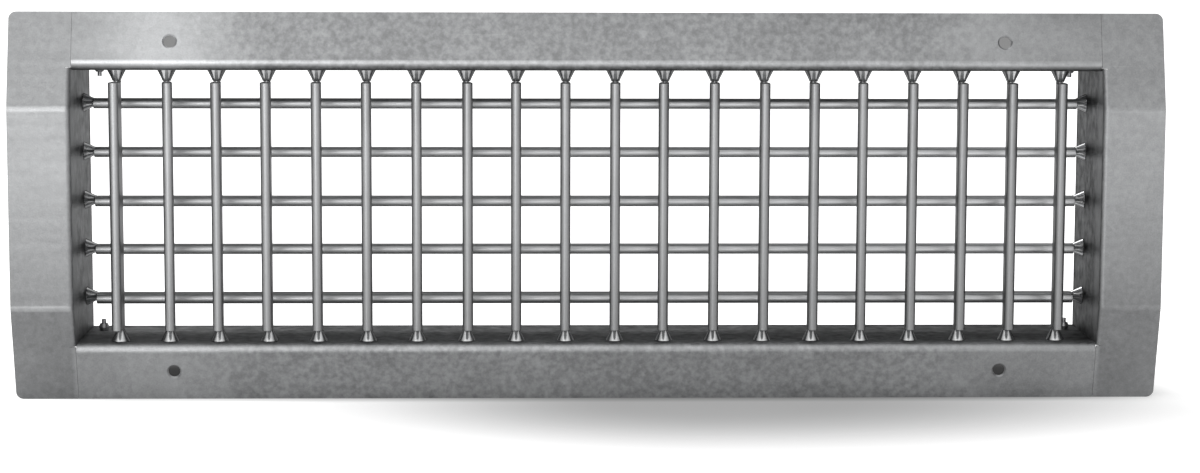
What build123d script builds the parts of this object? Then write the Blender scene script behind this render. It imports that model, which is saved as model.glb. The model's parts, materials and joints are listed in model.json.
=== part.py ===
from build123d import *
import os
from math import cos, radians, sin, tan

# Double deflection grille for a round duct: a long face folded back along its top and bottom edges,
# a shallow neck behind it, upright blades in front and level blades behind them.
# X runs along the face, Y back into the duct and Z up. The origin is the middle of the opening,
# in the plane of the face's middle facet. All sizes are millimetres.

# Blade rows and opening
PITCH = 20.0                  # between neighbouring blades, in both rows
FRONT_COUNT = 20
REAR_COUNT = 5
FRONT_END_SPACE = 16.0        # mean distance from a side neck wall to the nearest front pivot
REAR_END_SPACE = 15.0         # from the upper or lower neck wall to the nearest rear pivot
FRONT_SHIFT = 0.8             # how far the front row stands to the right of the middle
OPEN_WIDTH = (FRONT_COUNT - 1) * PITCH + 2 * FRONT_END_SPACE
OPEN_HEIGHT = (REAR_COUNT - 1) * PITCH + 2 * REAR_END_SPACE
FRONT_AXIS_Y = 14.5           # depth of the front row's pivots
REAR_AXIS_Y = 38.0            # depth of the rear row's pivots

# Folded sheet
SHEET = 1.0
NECK_DEPTH = 55.0
FOLD_HALF = 40.0              # half the height of the middle facet
FACET_LENGTH = 39.5           # from a fold to the face's top or bottom edge
FACET_TILT = 15.0             # degrees that the outer facets lean back
END_FLANGE = 25.0             # width of the face beside each end of the opening
RAIL_BEND_RADIUS = 3.0        # outer radius where an outer facet turns into the neck
END_BEND_RADIUS = 2.0         # outer radius where an end flange turns into the neck
FOLD_RADIUS = 5.0             # outer radius at the shallow folds between facets
CORNER_RADIUS = 3.0
SEAM = 0.1                    # gap where a rail butts an end piece
RELIEF_LENGTH = 2.2           # corner slit that frees an end's bend from its flange
RELIEF_HEIGHT = 0.15

# Corner tabs, blind rivets and fixing holes
TAB_REACH = 13.0
TAB_WIDTH = 20.0
TAB_MIDDLE_Y = 43.0
TAB_CORNER = 3.0
TAB_BEND_RADIUS = 0.95        # outer radius where a tab folds over
RIVET_INSET = 6.0             # from the end wall to the rivet
RIVET_RADIUS = 1.6
RIVET_FIT = 0.1
RIVET_HEAD_RADIUS = 3.2
RIVET_HEAD_HEIGHT = 1.1
RIVET_BULB_RADIUS = 2.2
RIVET_BULB_LENGTH = 2.8
MANDREL_RADIUS = 0.9
MANDREL_LENGTH = 1.8
SCREW_SPACING = 334.0
SCREW_HOLE_RADIUS = 2.4
SCREW_SINK_RADIUS = 3.0
SCREW_SINK_ANGLE = 90.0

# Blade section: a round nose, gently curved sides and a thin tail
NOSE_RADIUS = 2.1
NOSE_REACH = 6.5              # from the pivot forward to the centre of the nose
TAIL_HALF = 0.5               # half the thickness at the tail
TAIL_REACH = 5.6              # from the pivot back to where the tail rounds off
BLADE_GAP = 5.0               # from a blade's end to the neck wall

# How far each blade stands turned from straight ahead, in degrees, left to right and top to bottom
FRONT_SET = (-5, 7, 0, -2, 0, 0, 1, 5, 0, -2, -2, -7, -3, 0, 0, -5, -3, -1, -1, -1)
REAR_SET = (0, -1, 1, -2, 2)

# Pivot pins and tapered bushes
PIN_RADIUS = 1.0
PIN_SEAT_FIT = 0.02           # radial gap of a pin pressed into a blade
PIN_RUN_FIT = 0.05            # radial gap of a pin turning in a bush
PIN_SEAT = 8.0                # depth of a pin in its blade
BUSH_BASE_RADIUS = 3.8
BUSH_TIP_RADIUS = 1.6
BUSH_CLEAR = 0.3              # from a bush's tip to the blade's end
SPIGOT_RADIUS = 2.0
SPIGOT_FIT = 0.05
SPIGOT_PROUD = 0.6            # how far a spigot stands out behind the wall

# Worked out from the sizes above
HALF_WIDTH = OPEN_WIDTH / 2
HALF_HEIGHT = OPEN_HEIGHT / 2
WALL_HALF = HALF_HEIGHT + SHEET                 # half the neck's height over its outer faces
TILT = radians(FACET_TILT)
FACE_EDGE = (FACET_LENGTH * sin(TILT), FOLD_HALF + FACET_LENGTH * cos(TILT))
BEND_Y = (HALF_HEIGHT - FOLD_HALF) * tan(TILT)  # where the upper facet meets the inside of the neck
WALL_FRONT_Y = (WALL_HALF - FOLD_HALF) * tan(TILT)
BUSH_LENGTH = BLADE_GAP - BUSH_CLEAR
PIN_LENGTH = PIN_SEAT + BLADE_GAP + SHEET + SPIGOT_PROUD
CUT = 4.0                     # length of cutting tools, enough to pass through the sheet
NEAR = 0.01                   # distance at which two places count as the same


def front_places():
    """X of the upright blades' pivots, left to right."""
    return [FRONT_SHIFT + (i - (FRONT_COUNT - 1) / 2) * PITCH for i in range(FRONT_COUNT)]


def rear_places():
    """Z of the level blades' pivots, top to bottom."""
    return [((REAR_COUNT - 1) / 2 - i) * PITCH for i in range(REAR_COUNT)]


def folded_strip(points, radius, side):
    """Sheet bent along the face line through the points, drawn in the Y and Z plane."""
    face_line = FilletPolyline(*points, radius=radius)
    return Plane.YZ * make_face(offset(face_line, SHEET, side=side, closed=True))


def rail_rivet_places():
    """X of the two rivets in a rail's neck wall."""
    return [-HALF_WIDTH + RIVET_INSET, HALF_WIDTH - RIVET_INSET]


def screw_plane(x):
    """Plane on the upper facet at a fixing hole, facing the room."""
    flange_middle = ((HALF_HEIGHT - FOLD_HALF) / cos(TILT) + FACET_LENGTH) / 2
    place = (x, flange_middle * sin(TILT), FOLD_HALF + flange_middle * cos(TILT))
    return Plane(origin=place, x_dir=(1, 0, 0), z_dir=(0, -cos(TILT), sin(TILT)))


def make_top_rail():
    """Upper facet and upper neck wall, folded from one strip."""
    outline = [FACE_EDGE, (BEND_Y, HALF_HEIGHT), (NECK_DEPTH, HALF_HEIGHT)]
    rail = extrude(folded_strip(outline, RAIL_BEND_RADIUS, Side.LEFT), HALF_WIDTH - SEAM, both=True)
    wall_z = HALF_HEIGHT + SHEET / 2
    for x in front_places():
        rail -= Pos(x, FRONT_AXIS_Y, wall_z) * Cylinder(SPIGOT_RADIUS + SPIGOT_FIT, CUT)
    for x in rail_rivet_places():
        rail -= Pos(x, TAB_MIDDLE_Y, wall_z) * Cylinder(RIVET_RADIUS + RIVET_FIT, CUT)
    for x in (-SCREW_SPACING / 2, SCREW_SPACING / 2):
        rail -= screw_plane(x) * CounterSinkHole(
            SCREW_HOLE_RADIUS, SCREW_SINK_RADIUS, CUT, SCREW_SINK_ANGLE)
    return rail


def bend_chain(part, x, depth):
    """Edges at one X where the end flange turns into the neck wall, this far behind its front face."""
    return part.edges().filter_by(
        lambda e: abs(e.position_at(0).X - x) + abs(e.position_at(1).X - x) < NEAR
        and e.bounding_box().max.Y < WALL_FRONT_Y + depth + NEAR
        and e.bounding_box().size.Z > SHEET / 2
        and abs(e.center().Z) < WALL_HALF)


def end_flange():
    """Face strip beside one end of the opening, with its three facets and rounded outer corners."""
    top, bottom = FACE_EDGE, (FACE_EDGE[0], -FACE_EDGE[1])
    outline = [top, (0, FOLD_HALF), (0, -FOLD_HALF), bottom]
    flange = Pos(HALF_WIDTH, 0, 0) * extrude(folded_strip(outline, FOLD_RADIUS, Side.LEFT), END_FLANGE)
    corners = flange.edges().filter_by(
        lambda e: e.center().X > HALF_WIDTH + END_FLANGE - NEAR
        and abs(e.center().Z) > HALF_HEIGHT
        and e.length < 2 * SHEET)
    return fillet(corners, CORNER_RADIUS)


def end_wall():
    """Neck wall at one end, cut at its front to follow the facets."""
    inside = SHEET / 2
    outline = Polyline(
        (NECK_DEPTH, WALL_HALF), (WALL_FRONT_Y + inside, WALL_HALF), (inside, FOLD_HALF),
        (inside, -FOLD_HALF), (WALL_FRONT_Y + inside, -WALL_HALF), (NECK_DEPTH, -WALL_HALF), close=True)
    wall = Pos(HALF_WIDTH, 0, 0) * extrude(Plane.YZ * make_face(outline), SHEET)
    for z in rear_places():
        wall -= Pos(HALF_WIDTH, REAR_AXIS_Y, z) * Rot(Y=90) * Cylinder(SPIGOT_RADIUS + SPIGOT_FIT, CUT)
    return wall


def corner_tab():
    """Tab folded from the end wall, lying on the back of the upper rail's neck wall."""
    reach = TAB_REACH + SHEET
    tab = Pos(HALF_WIDTH + SHEET - reach / 2, TAB_MIDDLE_Y, WALL_HALF + SHEET / 2) * Box(
        reach, TAB_WIDTH, SHEET)
    tab = fillet(tab.edges().filter_by(Axis.Z).sort_by(Axis.X)[:2], TAB_CORNER)
    bend = tab.edges().filter_by(Axis.Y).sort_by(lambda e: e.center().X + e.center().Z)[-1]
    tab = fillet(bend, TAB_BEND_RADIUS)
    hole = Cylinder(RIVET_RADIUS + RIVET_FIT, CUT)
    return tab - Pos(HALF_WIDTH - RIVET_INSET, TAB_MIDDLE_Y, WALL_HALF) * hole


def make_right_end():
    """Three-facet end flange, end neck wall and two corner tabs, folded from one blank."""
    flange = end_flange()
    for side in (-1, 1):
        slit = Box(RELIEF_LENGTH, 2 * CUT, RELIEF_HEIGHT)
        slit_z = side * (WALL_HALF + RELIEF_HEIGHT / 2)
        flange -= Pos(HALF_WIDTH + RELIEF_LENGTH / 2, BEND_Y, slit_z) * slit
    end = flange + end_wall()
    end = fillet(bend_chain(end, HALF_WIDTH, 0), END_BEND_RADIUS)
    end = fillet(bend_chain(end, HALF_WIDTH + SHEET, SHEET), END_BEND_RADIUS - SHEET)
    tab = corner_tab()
    return end + tab + mirror(tab, about=Plane.XY)


def blade_section():
    """Blade outline about its pivot: nose towards -Y, tail towards +Y, thickness along X."""
    nose = (NOSE_RADIUS, -NOSE_REACH)
    nose_left = (-NOSE_RADIUS, -NOSE_REACH)
    tail = (TAIL_HALF, TAIL_REACH)
    tail_left = (-TAIL_HALF, TAIL_REACH)
    front = ThreePointArc(nose_left, (0, -NOSE_REACH - NOSE_RADIUS), nose)
    right = TangentArc(nose, tail, tangent=(0, 1))
    back = ThreePointArc(tail, (0, TAIL_REACH + TAIL_HALF), tail_left)
    left = TangentArc(nose_left, tail_left, tangent=(0, 1))
    return make_face([front, right, back, left])


def make_blade(opening):
    """Upright blade for an opening of this height, with a pin bore in each end."""
    half = opening / 2 - BLADE_GAP
    blade = extrude(blade_section(), half, both=True)
    bore = Cylinder(PIN_RADIUS + PIN_SEAT_FIT, PIN_SEAT * 2)
    return blade - Pos(0, 0, half) * bore - Pos(0, 0, -half) * bore


def make_pins(opening):
    """The two steel pins pressed into an upright blade's ends."""
    inner = opening / 2 - BLADE_GAP - PIN_SEAT
    pin = Pos(0, 0, inner + PIN_LENGTH / 2) * Cylinder(PIN_RADIUS, PIN_LENGTH)
    return [pin, mirror(pin, about=Plane.XY)]


def make_bush():
    """Tapered bush standing on a neck wall, tip upwards, with its spigot through the wall."""
    bore = PIN_RADIUS + PIN_RUN_FIT
    spigot_end = -SHEET - SPIGOT_PROUD
    outline = Polyline(
        (bore, spigot_end), (SPIGOT_RADIUS, spigot_end), (SPIGOT_RADIUS, 0), (BUSH_BASE_RADIUS, 0),
        (BUSH_TIP_RADIUS, BUSH_LENGTH), (bore, BUSH_LENGTH), close=True)
    return revolve(Plane.XZ * make_face(outline), Axis.Z)


def make_rivet():
    """Blind rivet: head above the tab, bulb and broken mandrel below the rail's wall."""
    grip = 2 * SHEET
    bulb_end = -RIVET_BULB_LENGTH
    tail_end = bulb_end - MANDREL_LENGTH
    outline = Polyline(
        (0, tail_end), (MANDREL_RADIUS, tail_end), (MANDREL_RADIUS, bulb_end), (RIVET_RADIUS, bulb_end),
        (RIVET_BULB_RADIUS, bulb_end / 2), (RIVET_RADIUS, 0), (RIVET_RADIUS, grip),
        (RIVET_HEAD_RADIUS, grip), (RIVET_RADIUS, grip + RIVET_HEAD_HEIGHT),
        (0, grip + RIVET_HEAD_HEIGHT), close=True)
    return revolve(Plane.XZ * make_face(outline), Axis.Z)


def write_part(name, solids):
    """One STEP file for one node."""
    node = Compound(label=name, children=solids) if len(solids) > 1 else solids[0]
    export_step(node, f"parts/{name}.step")


def frame_nodes():
    """The four folded sheet pieces and the rivets at their corners."""
    top_rail = make_top_rail()
    right_end = make_right_end()
    upper = [Pos(x, TAB_MIDDLE_Y, HALF_HEIGHT) * make_rivet() for x in rail_rivet_places()]
    lower = [mirror(rivet, about=Plane.XY) for rivet in upper]
    return {
        "top_rail": [top_rail],
        "bottom_rail": [mirror(top_rail, about=Plane.XY)],
        "right_end": [right_end],
        "left_end": [mirror(right_end, about=Plane.YZ)],
        "corner_rivets": upper + lower,
    }


def bush_nodes():
    """Four sets of bushes, one for each neck wall."""
    bush = make_bush()
    top = [Pos(x, FRONT_AXIS_Y, HALF_HEIGHT) * Rot(X=180) * bush for x in front_places()]
    right = [Pos(HALF_WIDTH, REAR_AXIS_Y, z) * Rot(Y=-90) * bush for z in rear_places()]
    return {
        "top_bushes": top,
        "bottom_bushes": [mirror(piece, about=Plane.XY) for piece in top],
        "right_bushes": right,
        "left_bushes": [mirror(piece, about=Plane.YZ) for piece in right],
    }


def front_nodes():
    """Upright blades from left to right, each turned as it stands, with its own pair of pins."""
    blade = make_blade(OPEN_HEIGHT)
    pins = make_pins(OPEN_HEIGHT)
    nodes = {}
    for number, (x, turn) in enumerate(zip(front_places(), FRONT_SET), start=1):
        place = Pos(x, FRONT_AXIS_Y, 0) * Rot(Z=turn)
        nodes[f"front_blade_{number:02d}"] = [place * blade]
        nodes[f"front_pins_{number:02d}"] = [place * pin for pin in pins]
    return nodes


def rear_nodes():
    """Level blades from top to bottom behind the front row, each with its own pair of pins."""
    blade = make_blade(OPEN_WIDTH)
    pins = make_pins(OPEN_WIDTH)
    nodes = {}
    for number, (z, turn) in enumerate(zip(rear_places(), REAR_SET), start=1):
        place = Pos(0, REAR_AXIS_Y, z) * Rot(X=turn) * Rot(Y=90)
        nodes[f"rear_blade_{number}"] = [place * blade]
        nodes[f"rear_pins_{number}"] = [place * pin for pin in pins]
    return nodes


def main():
    os.makedirs("parts", exist_ok=True)
    for nodes in (frame_nodes(), bush_nodes(), front_nodes(), rear_nodes()):
        for name, solids in nodes.items():
            write_part(name, solids)


main()
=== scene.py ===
import json
from math import asin, cos, pi, radians, sin

import bmesh
import bpy
from mathutils import Matrix, Vector


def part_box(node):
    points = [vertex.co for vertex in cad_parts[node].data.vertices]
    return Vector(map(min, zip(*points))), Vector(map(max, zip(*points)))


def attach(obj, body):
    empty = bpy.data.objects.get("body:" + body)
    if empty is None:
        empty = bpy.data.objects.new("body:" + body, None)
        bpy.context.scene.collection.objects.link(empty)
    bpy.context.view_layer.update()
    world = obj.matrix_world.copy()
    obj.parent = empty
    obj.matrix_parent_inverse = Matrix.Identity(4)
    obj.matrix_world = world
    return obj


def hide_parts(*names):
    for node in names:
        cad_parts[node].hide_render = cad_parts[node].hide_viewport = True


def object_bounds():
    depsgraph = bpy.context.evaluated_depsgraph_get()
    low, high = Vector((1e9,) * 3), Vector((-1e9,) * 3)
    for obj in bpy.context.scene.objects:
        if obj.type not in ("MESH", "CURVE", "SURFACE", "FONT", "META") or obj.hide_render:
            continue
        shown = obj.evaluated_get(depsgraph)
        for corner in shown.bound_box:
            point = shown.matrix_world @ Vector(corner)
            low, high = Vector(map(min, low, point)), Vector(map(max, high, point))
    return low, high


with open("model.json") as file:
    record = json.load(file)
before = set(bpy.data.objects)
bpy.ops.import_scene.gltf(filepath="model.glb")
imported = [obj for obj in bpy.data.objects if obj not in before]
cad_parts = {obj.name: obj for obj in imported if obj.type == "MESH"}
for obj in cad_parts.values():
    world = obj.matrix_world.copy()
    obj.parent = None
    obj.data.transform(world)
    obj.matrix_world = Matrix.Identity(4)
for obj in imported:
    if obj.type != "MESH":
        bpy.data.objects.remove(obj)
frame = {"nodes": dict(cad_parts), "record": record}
CAD_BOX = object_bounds()

# Camera fitted to the photograph, in metres and degrees
CAMERA_PLACE = (-0.0296, -1.1440, 0.1264)
CAMERA_TURN = -1.70           # how far it stands round to the left of straight ahead
CAMERA_RISE = 6.84            # how far it looks down
CAMERA_ROLL = 0.18
FOCAL_PIXELS = 2880.0
IMAGE_WIDTH = 1200
SENSOR = 36.0


def make_camera():
    turn, rise, roll = (radians(v) for v in (CAMERA_TURN, CAMERA_RISE, CAMERA_ROLL))
    back = Vector((sin(turn) * cos(rise), -cos(turn) * cos(rise), sin(rise)))
    right = (-back).cross(Vector((0, 0, 1))).normalized()
    up = right.cross(-back)
    tilted_right = right * cos(roll) + up * sin(roll)
    tilted_up = up * cos(roll) - right * sin(roll)
    place = Vector(CAMERA_PLACE)
    data = bpy.data.cameras.new("camera")
    data.sensor_width = SENSOR
    data.lens = FOCAL_PIXELS / IMAGE_WIDTH * SENSOR
    data.clip_start = 0.01
    data.clip_end = 50
    camera = bpy.data.objects.new("camera", data)
    camera.matrix_world = Matrix((
        (tilted_right.x, tilted_up.x, back.x, place.x),
        (tilted_right.y, tilted_up.y, back.y, place.y),
        (tilted_right.z, tilted_up.z, back.z, place.z),
        (0, 0, 0, 1)))
    bpy.context.scene.collection.objects.link(camera)
    bpy.context.scene.camera = camera


class Graph:
    """Short calls for building one material's node tree."""

    def __init__(self, name):
        self.material = bpy.data.materials.new(name)
        self.material.use_nodes = True
        self.tree = self.material.node_tree
        self.tree.nodes.clear()
        self.output = self.add("ShaderNodeOutputMaterial")
        self.place = self.add("ShaderNodeTexCoord").outputs["Object"]

    def add(self, kind, inputs=None, **settings):
        node = self.tree.nodes.new(kind)
        for key, value in settings.items():
            setattr(node, key, value)
        for key, value in (inputs or {}).items():
            self.put(node.inputs[key], value)
        return node

    def put(self, socket, value):
        if isinstance(value, bpy.types.NodeSocket):
            self.tree.links.new(value, socket)
        else:
            socket.default_value = value

    def stretch(self, scale):
        return self.add("ShaderNodeMapping", {"Vector": self.place, "Scale": scale}).outputs["Vector"]

    def noise(self, scale, detail=3.0, rough=0.55, stretch=(1, 1, 1), vector=None):
        place = vector or (self.place if stretch == (1, 1, 1) else self.stretch(stretch))
        return self.add("ShaderNodeTexNoise", {
            "Vector": place, "Scale": scale, "Detail": detail, "Roughness": rough}).outputs["Fac"]

    def cells(self, scale, vector=None):
        node = self.add("ShaderNodeTexVoronoi", {"Vector": vector or self.place, "Scale": scale})
        return self.add("ShaderNodeSeparateColor", {"Color": node.outputs["Color"]}).outputs["Red"]

    def remap(self, value, low, high, start=0.0, end=1.0, smooth=False):
        return self.add("ShaderNodeMapRange", {
            "Value": value, "From Min": low, "From Max": high, "To Min": start, "To Max": end},
            interpolation_type="SMOOTHSTEP" if smooth else "LINEAR").outputs["Result"]

    def math(self, kind, first, second=0.0):
        node = self.add("ShaderNodeMath", operation=kind)
        self.put(node.inputs[0], first)
        self.put(node.inputs[1], second)
        return node.outputs["Value"]

    def total(self, *values):
        result = values[0]
        for value in values[1:]:
            result = self.math("ADD", result, value)
        return result

    def product(self, *values):
        result = values[0]
        for value in values[1:]:
            result = self.math("MULTIPLY", result, value)
        return result

    def shade(self, color, factor):
        """The colour times a factor that varies over the surface."""
        scaled = self.add("ShaderNodeVectorMath", {"Scale": factor}, operation="SCALE")
        scaled.inputs[0].default_value = color
        return scaled.outputs["Vector"]

    def bump(self, height, distance, strength=1.0, below=None):
        inputs = {"Height": height, "Distance": distance, "Strength": strength}
        if below is not None:
            inputs["Normal"] = below
        return self.add("ShaderNodeBump", inputs).outputs["Normal"]

    def metal(self, color, rough, normal, metallic=1.0, edge=0.35):
        shader = self.add("ShaderNodeBsdfPrincipled", {
            "Base Color": color, "Roughness": rough, "Metallic": metallic, "Normal": normal,
            "Specular Tint": (edge, edge, edge, 1)})
        self.tree.links.new(shader.outputs["BSDF"], self.output.inputs["Surface"])
        return shader


# Measures inside materials are in metres; a noise of scale S repeats about every 1/S metre
SHEET_COLOR = (0.34, 0.345, 0.35)
BLADE_COLOR = (0.46, 0.465, 0.47)
BUSH_COLOR = (0.72, 0.725, 0.73)
RAIL_EDGE_X = 0.2059           # where a rail's bend ends beside an end piece
HALF_OPENING_X = 0.2           # about half the opening, over which painted light changes from left to right
END_FLANGE_X = (0.2065, 0.2080)
FOLD_Z = 0.040
SCREW_X = 0.167
SCREW_HALO = 0.042


def sheet_marks_and_painted_light(g):
    """What changes the sheet's tone from place to place, as a share of its colour: its grain and mottle,
    and painted highlights and painted shade.
    """
    pebble = g.noise(430, 1, 0.5)
    mottle = g.noise(200, 3, 0.6)
    parts = g.add("ShaderNodeSeparateXYZ", {"Vector": g.place})
    x, depth, z = parts.outputs["X"], parts.outputs["Y"], parts.outputs["Z"]
    aside, height = g.math("ABSOLUTE", x), g.math("ABSOLUTE", z)
    # painted light: the painted highlights below fade from left to right
    fade = g.remap(x, -HALF_OPENING_X, HALF_OPENING_X, 1.0, 0.2)
    lower = g.remap(z, -0.01, 0.01, 1, 0)
    upper = g.math("SUBTRACT", 1.0, lower)
    rail = g.remap(aside, 0.130, 0.170, 1.0, 0.3)

    # painted highlight along each rail's bend, with a line of painted shade below the upper rail's
    rail_bend = g.product(g.remap(aside, RAIL_EDGE_X - 0.00005, RAIL_EDGE_X + 0.00005, 1, 0),
                          g.remap(depth, 0.008, 0.0095, 1, 0))
    painted_bead_highlight = g.product(rail_bend, upper, g.remap(height, 0.0575, 0.0582),
                     g.remap(height, 0.0589, 0.0595, 1, 0))
    painted_lip_highlight = g.product(rail_bend, lower, g.remap(height, 0.0549, 0.0555),
                    g.remap(height, 0.0566, 0.0576, 1, 0))
    painted_under_shade = g.product(rail_bend, upper, g.remap(height, 0.0574, 0.0566))

    # painted shade along the neck's rear edge; mottled walls inside it, with painted shade on them that
    # deepens to the right
    rear = g.remap(depth, 0.0515, 0.0548, smooth=True)
    inside = g.product(g.remap(aside, 0.2068, 0.2072, 1, 0), g.remap(depth, 0.008, 0.014))
    painted_inside_shade = g.product(inside, g.remap(x, 0.0, HALF_OPENING_X, 0.08, 0.36))

    # painted highlight round the screw holes, most at the top
    from_screw = g.math("ABSOLUTE", g.math("SUBTRACT", aside, SCREW_X))
    painted_screw_highlight = g.product(g.remap(from_screw, 0.0, SCREW_HALO, 1, 0, smooth=True),
                       g.remap(z, 0.050, 0.060, 0.35, 1.0), g.remap(height, 0.050, 0.058))

    # end flanges: painted highlights on the folds, painted shade on the middle facet low down and on the
    # lower facet
    on_end = g.remap(aside, *END_FLANGE_X)
    from_fold = g.math("ABSOLUTE", g.math("SUBTRACT", height, FOLD_Z))
    painted_fold_highlight = g.product(on_end, g.remap(from_fold, 0.0006, 0.0016, 1, 0, smooth=True))
    below_fold = (-FOLD_Z - 0.0015, -FOLD_Z + 0.0005)
    painted_low_facet_shade = g.product(on_end, g.remap(z, *below_fold, 1, 0))
    painted_middle_facet_shade = g.product(on_end, g.remap(z, 0.012, -0.038, 0.0, 0.28), g.remap(z, *below_fold))
    # the pebble grain and the mottle are the sheet's own; the other terms are painted highlights and
    # painted shade
    return g.total(
        g.product(rail, g.remap(pebble, 0.3, 0.7, -0.16, 0.16)),
        g.product(inside, g.remap(mottle, 0.3, 0.7, -0.3, 0.3)),
        g.product(painted_bead_highlight, fade, 0.75),
        g.product(painted_lip_highlight, fade, 0.65),
        g.product(painted_under_shade, -0.35),
        g.product(rear, -0.45),
        g.product(painted_screw_highlight, fade, 0.55),
        g.product(painted_low_facet_shade, -0.24),
        g.product(painted_fold_highlight, fade, 0.40),
        g.product(painted_inside_shade, -1.0),
        g.product(painted_middle_facet_shade, -1.0),
        1.0)


def sheet_material():
    """Galvanised steel: zinc spangle, fine grain, broad clouds and rolling marks, with painted highlights
    and painted shade.
    """
    g = Graph("galvanised_sheet")
    clouds = g.noise(14, 3, 0.6)
    blotches = g.noise(60, 3, 0.6)
    spangle = g.cells(420)
    grain = g.noise(1500, 2, 0.7)
    rolling = g.noise(300, 2, 0.5, stretch=(0.06, 1, 1))
    scratches = g.remap(g.noise(220, 4, 0.75, stretch=(0.05, 1.2, 1.2)), 0.66, 0.72)
    value = g.total(
        g.remap(clouds, 0.3, 0.7, -0.06, 0.06),
        g.remap(blotches, 0.3, 0.7, -0.07, 0.07),
        g.remap(spangle, 0, 1, -0.06, 0.06),
        g.remap(grain, 0.25, 0.75, -0.09, 0.09),
        g.math("MULTIPLY", scratches, 0.08),
        1.0)
    rough = g.total(
        g.remap(blotches, 0.3, 0.7, -0.04, 0.04),
        g.remap(spangle, 0, 1, -0.03, 0.03),
        g.remap(rolling, 0.3, 0.7, -0.03, 0.03),
        0.46)
    low = g.bump(clouds, 0.0012, 0.5)
    middle = g.bump(blotches, 0.00035, 0.6, low)
    fine = g.bump(grain, 0.00007, 0.7, middle)
    g.metal(g.shade(SHEET_COLOR, g.product(value, sheet_marks_and_painted_light(g))), rough, fine)
    return g.material


def blade_material_with_painted_light(name, run, left, right, low):
    """Mill-finish aluminium drawn along axis number run, with painted light: its tone set at the row's ends
    and low down.
    """
    g = Graph(name)
    along = [1.0, 1.0, 1.0]
    along[run] = 0.015
    lines = g.noise(2600, 2, 0.6, stretch=tuple(along))
    streaks = g.noise(500, 3, 0.6, stretch=tuple(along))
    stains = g.noise(45, 3, 0.6)
    pits = g.noise(1800, 2, 0.6)
    value = g.total(
        g.remap(lines, 0.3, 0.7, -0.05, 0.05),
        g.remap(streaks, 0.3, 0.7, -0.07, 0.07),
        g.remap(stains, 0.3, 0.7, -0.09, 0.09),
        g.remap(pits, 0.3, 0.7, -0.04, 0.04),
        1.0)
    parts = g.add("ShaderNodeSeparateXYZ", {"Vector": g.place})
    # painted light and shade: the tone runs from the left end's factor to the right end's, and is lower low
    # down
    value = g.product(value, g.remap(parts.outputs["X"], -HALF_OPENING_X, HALF_OPENING_X, left, right),
                      g.remap(parts.outputs["Z"], -0.04, 0.03, low, 1.0))
    rough = g.total(
        g.remap(stains, 0.3, 0.7, -0.05, 0.05),
        g.remap(streaks, 0.3, 0.7, -0.04, 0.04),
        0.38)
    normal = g.bump(pits, 0.00003, 0.5, g.bump(lines, 0.00004, 0.6))
    g.metal(g.shade(BLADE_COLOR, value), rough, normal)
    return g.material


def bush_material():
    """Bright turned metal, faintly clouded and pitted."""
    g = Graph("bush_bright")
    cloud = g.noise(900, 2, 0.5)
    speck = g.noise(4000, 2, 0.5)
    value = g.total(g.remap(cloud, 0.3, 0.7, -0.10, 0.10), g.remap(speck, 0.3, 0.7, -0.06, 0.06), 1.0)
    rough = g.remap(cloud, 0.3, 0.7, 0.13, 0.21)
    normal = g.bump(speck, 0.00002, 0.4)
    g.metal(g.shade(BUSH_COLOR, value), rough, normal, edge=0.0)
    return g.material


def small_metal(name, color, rough, scale):
    """Drawn or plated steel for the small parts."""
    g = Graph(name)
    cloud = g.noise(scale, 3, 0.6)
    grain = g.noise(scale * 5, 2, 0.6)
    value = g.total(g.remap(cloud, 0.3, 0.7, -0.12, 0.12), g.remap(grain, 0.3, 0.7, -0.08, 0.08), 1.0)
    normal = g.bump(grain, 0.00003, 0.6)
    g.metal(g.shade(color, value), g.remap(cloud, 0.3, 0.7, rough - 0.06, rough + 0.06), normal)
    return g.material


# Section sizes of blades and bushes, in metres, as in the part's source
NOSE_RADIUS = 0.0021
NOSE_REACH = 0.0065
TAIL_HALF = 0.0005
TAIL_REACH = 0.0056
PIN_RADIUS = 0.001
PIN_SEAT = 0.008
BLADE_BEVEL = 0.00015
BLADE_STEPS = 10               # lengths that a blade's mesh is divided into
BUSH_LENGTH = 0.0047
BUSH_BORE = 0.00105
SPIGOT_RADIUS = 0.0020
SPIGOT_REACH = 0.0016
BUSH_BASE_RADIUS = 0.0038
BUSH_TIP_RADIUS = 0.0016
ROUND_COUNT = 36               # sides of a bush's mesh
NECK_HALF_WIDTH = 0.206
NECK_HALF_HEIGHT = 0.055


def arc(center, radius, start, end, count):
    """Points on an arc in the plane, from one angle to another."""
    angles = [start + (end - start) * i / count for i in range(count + 1)]
    return [(center[0] + radius * cos(a), center[1] + radius * sin(a)) for a in angles]


def blade_outline():
    """Round nose towards -Y, gently curved sides and a thin round tail, counted anticlockwise."""
    drop = NOSE_RADIUS - TAIL_HALF
    run = NOSE_REACH + TAIL_REACH
    bow = (run * run + drop * drop) / (2 * drop)
    sweep = asin(run / bow)
    nose = arc((0, -NOSE_REACH), NOSE_RADIUS, pi, 2 * pi, 32)
    right = arc((NOSE_RADIUS - bow, -NOSE_REACH), bow, 0, sweep, 12)
    tail = arc((0, TAIL_REACH), TAIL_HALF, 0, pi, 8)
    left = [(-x, y) for x, y in reversed(right)]
    return nose + right[1:] + tail[1:-1] + left[:-1]


def finish_mesh(bm, name, body, material, nodes):
    """A mesh piece that stands for CAD nodes, smooth but for its sharp edges."""
    bmesh.ops.recalc_face_normals(bm, faces=bm.faces)
    mesh = bpy.data.meshes.new(name)
    bm.to_mesh(mesh)
    bm.free()
    mesh.shade_smooth()
    mesh.set_sharp_from_angle(angle=radians(32))
    mesh.materials.append(material)
    piece = bpy.data.objects.new(name, mesh)
    bpy.context.scene.collection.objects.link(piece)
    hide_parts(*nodes)
    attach(piece, body)
    return piece


def loop_of(bm, points, height):
    return [bm.verts.new((x, y, height)) for x, y in points]


def bridge(bm, first, second):
    for i in range(len(first)):
        j = (i + 1) % len(first)
        bm.faces.new((first[i], first[j], second[j], second[i]))


def ring_edges(bm, ring):
    return [bm.edges.get((ring[i], ring[i - 1])) for i in range(len(ring))]


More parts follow.
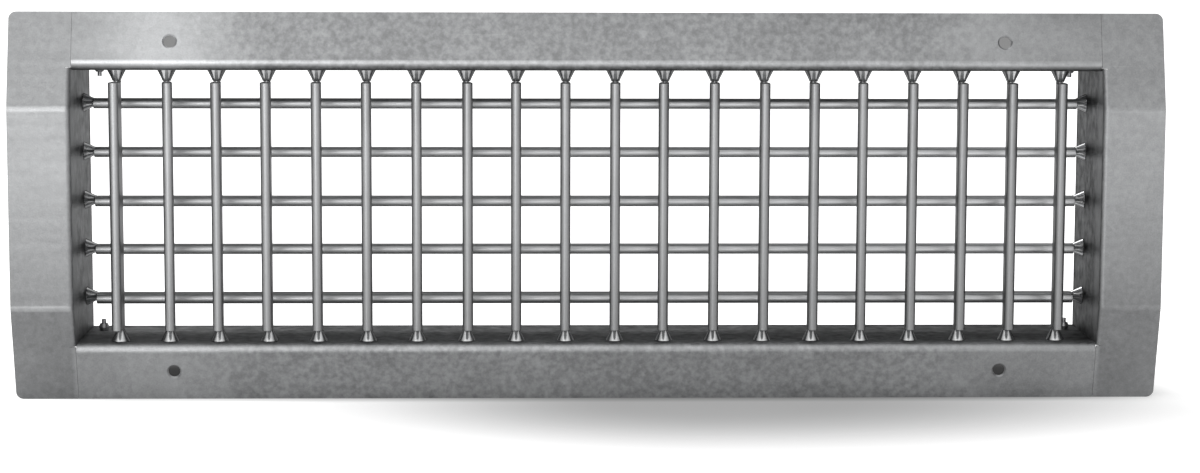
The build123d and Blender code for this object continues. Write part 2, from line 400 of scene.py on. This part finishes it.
def make_blade(node, body, joint, material):
    """One blade with bevelled ends and its pin bores, built upright and then laid in its place."""
    low, high = joint["range_deg"]
    turn = radians(-(low + high) / 2)
    level = joint["axis"][0] == 1
    place = Matrix.Translation(joint["pos_m"])
    if level:
        place = place @ Matrix.Rotation(turn, 4, "X") @ Matrix.Rotation(pi / 2, 4, "Y")
    else:
        place = place @ Matrix.Rotation(turn, 4, "Z")
    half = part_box(node)[1][0 if level else 2]
    outline = blade_outline()
    shrunk = [(x * (1 - BLADE_BEVEL / NOSE_RADIUS), y * (1 - BLADE_BEVEL / NOSE_REACH)) for x, y in outline]
    bore = arc((0, 0), PIN_RADIUS * 1.02, 0, 2 * pi, 24)[:-1]
    bm = bmesh.new()
    straight = half - BLADE_BEVEL
    heights = [-straight + 2 * straight * i / BLADE_STEPS for i in range(BLADE_STEPS + 1)]
    rings = [loop_of(bm, outline, z) for z in heights]
    for first, second in zip(rings, rings[1:]):
        bridge(bm, first, second)
    for side, ring in ((-1, rings[0]), (1, rings[-1])):
        rim = loop_of(bm, shrunk, side * half)
        bridge(bm, ring, rim)
        mouth = loop_of(bm, bore, side * half)
        deep = loop_of(bm, bore, side * (half - PIN_SEAT))
        bridge(bm, mouth, deep)
        bm.faces.new(deep)
        bmesh.ops.triangle_fill(bm, use_beauty=True, edges=ring_edges(bm, rim) + ring_edges(bm, mouth))
    bm.transform(place)
    return finish_mesh(bm, node + "_section", body, material, [node])


def bush_profile():
    """Radius and height of a bush's outline, from the spigot's end over the cone to the bore."""
    return [
        (BUSH_BORE, -SPIGOT_REACH), (SPIGOT_RADIUS - 0.0002, -SPIGOT_REACH),
        (SPIGOT_RADIUS, 0.0002 - SPIGOT_REACH), (SPIGOT_RADIUS, 0.0),
        (BUSH_BASE_RADIUS - 0.00015, 0.0), (BUSH_BASE_RADIUS, 0.00012),
        (BUSH_BASE_RADIUS - 0.00008, 0.0003), (0.0029, 0.0019), (0.0022, 0.0033),
        (BUSH_TIP_RADIUS + 0.00012, BUSH_LENGTH - 0.0002), (BUSH_TIP_RADIUS - 0.00005, BUSH_LENGTH),
        (BUSH_BORE, BUSH_LENGTH)]


def make_bushes(node, places, material):
    """All bushes of one neck wall, each a turned cone on its spigot."""
    bm = bmesh.new()
    for place in places:
        rings = []
        for radius, height in bush_profile():
            circle = arc((0, 0), radius, 0, 2 * pi, ROUND_COUNT)[:-1]
            rings.append([bm.verts.new(place @ Vector((x, y, height))) for x, y in circle])
        for first, second in zip(rings, rings[1:] + rings[:1]):
            bridge(bm, first, second)
    return finish_mesh(bm, node + "_turned", "frame", material, [node])


def build_rows(finishes):
    joints = frame["record"]["behaviour"]["joints"]
    upright = [j for j in joints if j["axis"][2] == 1]
    level = [j for j in joints if j["axis"][0] == 1]
    for joint in upright:
        make_blade(joint["child"], joint["child"], joint, finishes["front_blade"])
    for joint in level:
        make_blade(joint["child"], joint["child"], joint, finishes["rear_blade"])
    for node, side in (("bottom_bushes", 1), ("top_bushes", -1)):
        wall = [Vector((j["pos_m"][0], j["pos_m"][1], -side * NECK_HALF_HEIGHT)) for j in upright]
        flip = Matrix.Rotation(0 if side == 1 else pi, 4, "X")
        make_bushes(node, [Matrix.Translation(v) @ flip for v in wall], finishes["bush"])
    for node, side in (("left_bushes", 1), ("right_bushes", -1)):
        wall = [Vector((-side * NECK_HALF_WIDTH, j["pos_m"][1], j["pos_m"][2])) for j in level]
        flip = Matrix.Rotation(side * pi / 2, 4, "Y")
        make_bushes(node, [Matrix.Translation(v) @ flip for v in wall], finishes["bush"])


def dress_nodes():
    """Each carried-over CAD node gets the material of its slot."""
    finishes = {
        "sheet": sheet_material(),
        # the last three numbers are painted light: tone at the row's left end, at its right end and low
        # down
        "front_blade": blade_material_with_painted_light("front_blade_aluminium", 2, 0.95, 0.72, 0.82),
        "rear_blade": blade_material_with_painted_light("rear_blade_aluminium", 0, 0.95, 1.55, 1.0),
        "bush": bush_material(),
        "pin": small_metal("pin_steel", (0.62, 0.62, 0.63), 0.30, 700),
        "rivet": small_metal("rivet_steel", (0.58, 0.58, 0.59), 0.34, 600),
    }
    for part in frame["record"]["subparts"]:
        node = frame["nodes"][part["node"]]
        for holder in node.material_slots:
            holder.material = finishes[part["material_slot"]]
    build_rows(finishes)


FLOOR_Z = CAD_BOX[0][2] - 0.00002
FLOOR_SIZE = 14.0
FLOOR_COLOR = (0.82, 0.82, 0.82)
SHADE_LEVEL = 0.10             # what the floor keeps of its white in the painted shade
MIRRORED_NEAR = 0.20           # the same where the metal mirrors it
SHADE_MIDDLE = 0.05            # the painted shade on the floor lies a little to the right
FAR_FIELD_MIDDLE = 0.07


def uneven(g, value, before, after):
    """The value in units of one length below zero and of another above it."""
    return g.total(g.math("DIVIDE", g.math("MINIMUM", value, 0.0), before),
                   g.math("DIVIDE", g.math("MAXIMUM", value, 0.0), after))


def distance(g, first, second):
    return g.math("SQRT", g.total(g.product(first, first), g.product(second, second)))


def floor_material():
    """White paper that glows to pure white, but for a painted shade round the object and far out to the
    sides.
    """
    g = Graph("floor_paper")
    parts = g.add("ShaderNodeSeparateXYZ", {"Vector": g.place})
    x, y = parts.outputs["X"], parts.outputs["Y"]
    width = g.math("ABSOLUTE", x)

    # white up to a line that widens with the camera's view, grey beyond it
    aside = g.math("SUBTRACT", width, g.math("MULTIPLY", g.math("MAXIMUM", y, 0.0), 0.26))
    pale = g.remap(aside, 0.45, 0.95, 1.0, 0.0, smooth=True)

    # painted soft shade round the object, and the wider painted shade that its metal mirrors
    across = uneven(g, g.math("SUBTRACT", x, SHADE_MIDDLE), 0.22, 0.30)
    lift = g.remap(distance(g, across, uneven(g, y, 0.17, 0.12)), 0.15, 1.15, SHADE_LEVEL, 1.0, smooth=True)
    mirrored_place = distance(g, g.math("DIVIDE", x, 0.60), uneven(g, y, 0.36, 0.80))
    dim = g.remap(mirrored_place, 0.15, 1.15, MIRRORED_NEAR, 1.0, smooth=True)

    # painted shadow under the neck, and a painted grey field far behind that shows through the upper screw
    # holes
    painted_under_shade = g.product(g.remap(width, 0.18, 0.25, 1, 0, smooth=True), g.remap(y, 0.0, 0.02),
                      g.remap(y, 0.08, 0.20, 1, 0, smooth=True))
    from_field = g.math("ABSOLUTE", g.math("SUBTRACT", x, FAR_FIELD_MIDDLE))
    far = g.product(g.remap(from_field, 0.62, 0.70, 1, 0), g.remap(y, 2.3, 2.5), g.remap(y, 3.2, 3.4, 1, 0))
    open_part = g.product(g.math("SUBTRACT", 1.0, painted_under_shade), g.math("SUBTRACT", 1.0, g.product(far, 0.85)))

    path = g.add("ShaderNodeLightPath")
    straight = g.total(path.outputs["Is Camera Ray"], path.outputs["Is Transmission Ray"])
    direct = g.math("MINIMUM", straight, 1.0)
    mirrored = g.math("MULTIPLY", path.outputs["Is Glossy Ray"], g.math("SUBTRACT", 1.0, direct))
    seen = g.total(g.product(direct, lift, open_part), g.product(mirrored, dim))
    # the paper itself is darker in the painted shade, in the painted shadow under the neck and in the grey
    # far out
    tone = g.product(g.remap(pale, 0.0, 1.0, 0.35, 1.0), g.remap(lift, 0.0, 0.5, 0.72, 1.0),
                     g.remap(open_part, 0.0, 1.0, 0.12, 1.0))
    paper = g.add("ShaderNodeBsdfDiffuse", {"Color": g.shade(FLOOR_COLOR, tone)})
    glow = g.add("ShaderNodeEmission", {"Color": (1, 1, 1, 1), "Strength": g.math("MULTIPLY", pale, seen)})
    both = g.add("ShaderNodeAddShader")
    g.tree.links.new(paper.outputs["BSDF"], both.inputs[0])
    g.tree.links.new(glow.outputs["Emission"], both.inputs[1])
    g.tree.links.new(both.outputs["Shader"], g.output.inputs["Surface"])
    return g.material


def make_floor():
    mesh = bpy.data.meshes.new("floor")
    half = FLOOR_SIZE / 2
    corners = [(-half, -half), (half, -half), (half, half), (-half, half)]
    mesh.from_pydata([(x, y, FLOOR_Z) for x, y in corners], [], [(0, 1, 2, 3)])
    mesh.materials.append(floor_material())
    floor = bpy.data.objects.new("floor", mesh)
    bpy.context.scene.collection.objects.link(floor)


# Strength of the world in front, overhead and elsewhere
FRONT_LEVEL = 0.62
TOP_LEVEL = 0.65
REST_LEVEL = 0.20


def area_lamp(name, place, aim, width, height, radiance, spread=180):
    data = bpy.data.lights.new(name, "AREA")
    data.shape = "RECTANGLE"
    data.size = width
    data.size_y = height
    data.energy = radiance * pi * width * height
    data.spread = radians(spread)
    lamp = bpy.data.objects.new(name, data)
    lamp.location = place
    lamp.rotation_euler = (Vector(aim) - Vector(place)).to_track_quat("-Z", "Y").to_euler()
    lamp.visible_camera = False
    bpy.context.scene.collection.objects.link(lamp)


def make_world():
    """A soft studio: bright in front and overhead, dim at the sides and behind."""
    world = bpy.data.worlds.new("studio")
    world.use_nodes = True
    tree = world.node_tree
    parts = tree.nodes.new("ShaderNodeSeparateXYZ")
    tree.links.new(tree.nodes.new("ShaderNodeTexCoord").outputs["Generated"], parts.inputs["Vector"])

    def level(socket, low, high, start, end):
        node = tree.nodes.new("ShaderNodeMapRange")
        node.interpolation_type = "SMOOTHSTEP"
        tree.links.new(socket, node.inputs["Value"])
        for key, value in (("From Min", low), ("From Max", high), ("To Min", start), ("To Max", end)):
            node.inputs[key].default_value = value
        return node.outputs["Result"]

    total = tree.nodes.new("ShaderNodeMath")
    tree.links.new(level(parts.outputs["Y"], -0.90, -0.25, FRONT_LEVEL, 0.0), total.inputs[0])
    tree.links.new(level(parts.outputs["Z"], 0.35, 0.90, REST_LEVEL, TOP_LEVEL), total.inputs[1])
    background = tree.nodes["Background"]
    background.inputs["Color"].default_value = (1, 1, 1, 1)
    tree.links.new(total.outputs["Value"], background.inputs["Strength"])
    bpy.context.scene.world = world


def make_light():
    make_world()
    area_lamp("overhead", (-0.5, 0.7, 1.5), (0, 0, 0), 0.9, 0.6, 3.0)
    area_lamp("front_left", (-0.85, -1.8, 0.95), (-0.1, 0, 0), 0.8, 0.8, 1.2)
    area_lamp("low_left", (-0.55, -1.6, 0.17), (-0.35, 0, 0), 0.6, 0.46, 0.6, 70)


make_camera()
dress_nodes()
make_floor()
make_light()
bpy.context.scene.view_settings.view_transform = "Standard"
